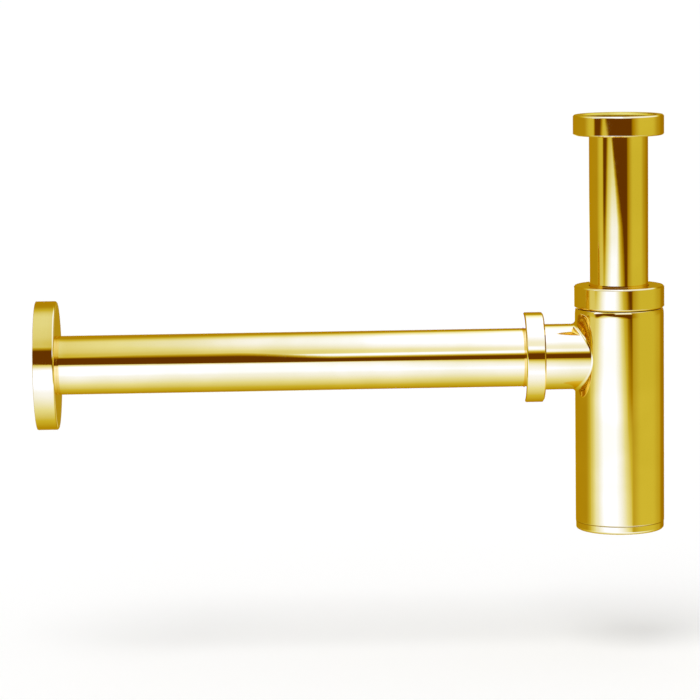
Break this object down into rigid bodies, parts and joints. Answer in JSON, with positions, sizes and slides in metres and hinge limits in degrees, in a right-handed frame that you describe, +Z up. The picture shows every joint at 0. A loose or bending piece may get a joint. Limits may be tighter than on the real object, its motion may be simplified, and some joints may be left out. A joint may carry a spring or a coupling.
{
  "type": "bottle trap",
  "caption": "Round designer bottle trap for a basin in polished gold plated brass: long inlet tube with a union nut, bottle with screwed cleaning cap, horizontal outlet tube and round wall flange.",
  "frame": {"origin": "centre of the inlet nut's thread mouth, just inside its lead-in chamfer", "axes": "+Z up along the inlet tube, out of the inlet nut's mouth; the outlet tube runs towards -X; +Y completes a right-handed frame"},
  "size_m": [0.3422, 0.07, 0.2269],
  "materials": {
    "gold_nut": "polished gold plate",
    "gold_tube": "polished gold plate",
    "gold_body": "polished gold plate",
    "gold_flange": "polished gold plate with faint turning lines",
    "bare_brass": "turned, unplated",
    "rubber": "matt",
    "slip_plastic": "natural, slightly translucent"
  },
  "bodies": {
    "inlet nut": {"inlet_nut": "gold_nut"},
    "inlet washer": {"inlet_washer": "rubber"},
    "inlet tube": {"inlet_tube": "gold_tube", "inlet_lip_ring": "bare_brass"},
    "cap seal": {"cap_seal": "rubber"},
    "bottle": {"bottle_shell": "gold_body", "neck_collar": "bare_brass", "base_collar": "bare_brass", "outlet_stub": "gold_body", "outlet_collar": "bare_brass", "outlet_seal": "rubber"},
    "cap slip ring": {"cap_slip_ring": "slip_plastic"},
    "cap nut": {"cap_nut": "gold_nut"},
    "cleaning cap seal": {"cleaning_cap_seal": "rubber"},
    "cleaning cap": {"cleaning_cap": "gold_nut"},
    "outlet slip ring": {"outlet_slip_ring": "slip_plastic"},
    "outlet nut": {"outlet_nut": "gold_nut"},
    "outlet tube": {"outlet_tube": "gold_tube"},
    "flange grip ring": {"flange_grip_ring": "rubber"},
    "wall flange": {"wall_flange": "gold_flange"}
  },
  "joints": [
    {"name": "loose_nut_slide", "type": "slide", "parent": "inlet nut", "child": "inlet washer", "axis": [0, 0, 1], "range_m": [0, 0.06]},
    {"name": "tube_swivel", "type": "hinge", "parent": "inlet washer", "child": "inlet tube", "pos_m": [0, 0, 0], "axis": [0, 0, 1], "continuous": true},
    {"name": "height_slide", "type": "slide", "parent": "inlet tube", "child": "cap seal", "axis": [0, 0, -1], "range_m": [-0.01, 0.06]},
    {"name": "bottle_swivel", "type": "hinge", "parent": "cap seal", "child": "bottle", "pos_m": [0, 0, -0.1309], "axis": [0, 0, 1], "continuous": true},
    {"name": "cap_nut_rise", "type": "slide", "parent": "bottle", "child": "cap slip ring", "axis": [0, 0, 1], "range_m": [0, 0.00577]},
    {"name": "cap_nut_turn", "type": "hinge", "parent": "cap slip ring", "child": "cap nut", "pos_m": [0, 0, -0.098], "axis": [0, 0, 1], "range_deg": [0, 900]},
    {"name": "cleaning_cap_drop", "type": "slide", "parent": "bottle", "child": "cleaning cap seal", "axis": [0, 0, -1], "range_m": [0, 0.00577]},
    {"name": "cleaning_cap_turn", "type": "hinge", "parent": "cleaning cap seal", "child": "cleaning cap", "pos_m": [0, 0, -0.224], "axis": [0, 0, -1], "range_deg": [0, 900]},
    {"name": "outlet_nut_travel", "type": "slide", "parent": "bottle", "child": "outlet slip ring", "axis": [-1, 0, 0], "range_m": [0, 0.00461]},
    {"name": "outlet_nut_turn", "type": "hinge", "parent": "outlet slip ring", "child": "outlet nut", "pos_m": [-0.047, 0, -0.1309], "axis": [-1, 0, 0], "range_deg": [0, 720]},
    {"name": "outlet_tube_slide", "type": "slide", "parent": "bottle", "child": "outlet tube", "axis": [-1, 0, 0], "range_m": [-0.008, 0.012]},
    {"name": "flange_slide", "type": "slide", "parent": "outlet tube", "child": "flange grip ring", "axis": [1, 0, 0], "range_m": [0, 0.23]},
    {"name": "flange_spin", "type": "hinge", "parent": "flange grip ring", "child": "wall flange", "pos_m": [-0.31, 0, -0.1309], "axis": [1, 0, 0], "continuous": true}
  ],
  "couplings": [
    {"joint": "cap_nut_turn", "follows": "cap_nut_rise", "rad_per_m": 2721.2},
    {"joint": "cleaning_cap_turn", "follows": "cleaning_cap_drop", "rad_per_m": 2721.2},
    {"joint": "outlet_nut_turn", "follows": "outlet_nut_travel", "rad_per_m": 2721.2}
  ]
}
